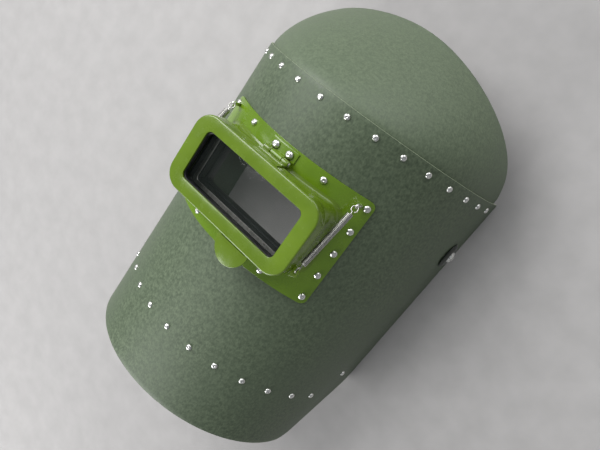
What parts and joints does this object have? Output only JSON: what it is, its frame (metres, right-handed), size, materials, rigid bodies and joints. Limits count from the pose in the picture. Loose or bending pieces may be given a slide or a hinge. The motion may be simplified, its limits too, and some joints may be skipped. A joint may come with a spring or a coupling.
{
  "type": "welding helmet",
  "caption": "Head-worn welding helmet: riveted fibre shell with sloping crown cap, flip-up enamelled window on a spring-loaded hinge, and tilting headgear inside.",
  "frame": {"origin": "middle of the footprint, on the surface that the helmet's rear edges rest on", "axes": "+Z the way the wearer looks, out through the window; +Y towards the crown; +X to the right of someone facing the window"},
  "size_m": [0.2262, 0.332, 0.176],
  "materials": {
    "fibre_board": "matt mottled grey-green vulcanised fibre board",
    "fibre_washer": "plain pressed fibre",
    "green_enamel": "glossy grass-green enamel on pressed steel",
    "black_moulding": "satin black moulding",
    "clear_glass": "clear cover glass",
    "spring_steel": "bright drawn spring wire",
    "zinc_plate": "bright zinc plate",
    "black_rubber": "matt black rubber",
    "sweatband_cloth": "soft dark grey towelling over foam",
    "headgear_plastic": "satin black flexible plastic"
  },
  "bodies": {
    "shell": {"main_shell": "fibre_board", "crown_cap": "fibre_board", "chin_guard": "fibre_board", "window_plate": "green_enamel", "window_collar": "green_enamel", "lens_box": "black_moulding", "inner_lens": "clear_glass", "lens_retainer": "spring_steel", "seat_gasket": "black_rubber", "hinge_leaf_fixed": "green_enamel", "hinge_pin": "zinc_plate", "hinge_screw_1": "zinc_plate", "hinge_screw_2": "zinc_plate", "plate_rivet_01": "zinc_plate", "plate_rivet_02": "zinc_plate", "plate_rivet_03": "zinc_plate", "plate_rivet_04": "zinc_plate", "plate_rivet_05": "zinc_plate", "plate_rivet_06": "zinc_plate", "plate_rivet_07": "zinc_plate", "plate_rivet_08": "zinc_plate", "plate_rivet_09": "zinc_plate", "plate_rivet_10": "zinc_plate", "plate_rivet_11": "zinc_plate", "plate_rivet_12": "zinc_plate", "plate_rivet_13": "zinc_plate", "plate_rivet_14": "zinc_plate", "plate_rivet_15": "zinc_plate", "spring_anchor_left": "zinc_plate", "spring_anchor_right": "zinc_plate", "pivot_screw_left": "zinc_plate", "pivot_screw_right": "zinc_plate", "cup_washer_left": "black_rubber", "cup_washer_right": "black_rubber", "friction_washer_left": "fibre_washer", "friction_washer_right": "fibre_washer"},
    "flip_window": {"flip_frame": "green_enamel", "flip_lens_holder": "black_moulding", "flip_lens": "clear_glass", "flip_lens_clip": "spring_steel", "hinge_leaf_moving": "green_enamel"},
    "left_spring": {"spring_coil_left": "spring_steel"},
    "left_spring_hook": {"spring_hook_left": "spring_steel"},
    "right_spring": {"spring_coil_right": "spring_steel"},
    "right_spring_hook": {"spring_hook_right": "spring_steel"},
    "headgear": {"headband_front": "headgear_plastic", "sweatband": "sweatband_cloth", "headgear_arm_left": "headgear_plastic", "headgear_arm_right": "headgear_plastic", "crown_strap_left": "headgear_plastic", "crown_strap_right": "headgear_plastic", "crown_strap_stud": "zinc_plate"},
    "rear_band": {"headband_rear": "headgear_plastic", "nape_pad": "sweatband_cloth", "ratchet_housing": "headgear_plastic"},
    "ratchet": {"ratchet_knob": "headgear_plastic"},
    "left_knob": {"tension_knob_left": "headgear_plastic"},
    "right_knob": {"tension_knob_right": "headgear_plastic"}
  },
  "joints": [
    {"name": "window_flip", "type": "hinge", "parent": "shell", "child": "flip_window", "pos_m": [0, 0.043, 0.1605], "axis": [-1, 0, 0], "range_deg": [0, 100]},
    {"name": "left_spring_swing", "type": "hinge", "parent": "shell", "child": "left_spring", "pos_m": [-0.0602, 0.0475, 0.144], "axis": [-1, 0, 0], "range_deg": [0, 76.59]},
    {"name": "left_spring_stretch", "type": "slide", "parent": "left_spring", "child": "left_spring_hook", "axis": [0, -0.9275, 0.3738], "range_m": [0, 0.00687]},
    {"name": "right_spring_swing", "type": "hinge", "parent": "shell", "child": "right_spring", "pos_m": [0.0602, 0.0475, 0.144], "axis": [-1, 0, 0], "range_deg": [0, 76.59]},
    {"name": "right_spring_stretch", "type": "slide", "parent": "right_spring", "child": "right_spring_hook", "axis": [0, -0.9275, 0.3738], "range_m": [0, 0.00687]},
    {"name": "headgear_tilt", "type": "hinge", "parent": "shell", "child": "headgear", "pos_m": [0, 0.0385, 0.03], "axis": [-1, 0, 0], "range_deg": [0, 105]},
    {"name": "band_size", "type": "slide", "parent": "headgear", "child": "rear_band", "axis": [0, 1, 0], "range_m": [0, 0.022]},
    {"name": "ratchet_turn", "type": "hinge", "parent": "rear_band", "child": "ratchet", "pos_m": [0, 0.1566, 0.03], "axis": [0, 1, 0], "range_deg": [0, 360]},
    {"name": "left_knob_turn", "type": "hinge", "parent": "shell", "child": "left_knob", "pos_m": [-0.09619, 0.0385, 0.03], "axis": [-1, 0, 0], "range_deg": [-90, 90]},
    {"name": "right_knob_turn", "type": "hinge", "parent": "shell", "child": "right_knob", "pos_m": [0.09619, 0.0385, 0.03], "axis": [1, 0, 0], "range_deg": [-90, 90]}
  ],
  "couplings": [
    {"joint": "left_spring_swing", "follows": "window_flip", "ratio": 0.76295},
    {"joint": "left_spring_stretch", "follows": "window_flip", "m_per_rad": 0.0038798},
    {"joint": "right_spring_swing", "follows": "window_flip", "ratio": 0.76295},
    {"joint": "right_spring_stretch", "follows": "window_flip", "m_per_rad": 0.0038798},
    {"joint": "ratchet_turn", "follows": "band_size", "rad_per_m": 285.59}
  ]
}
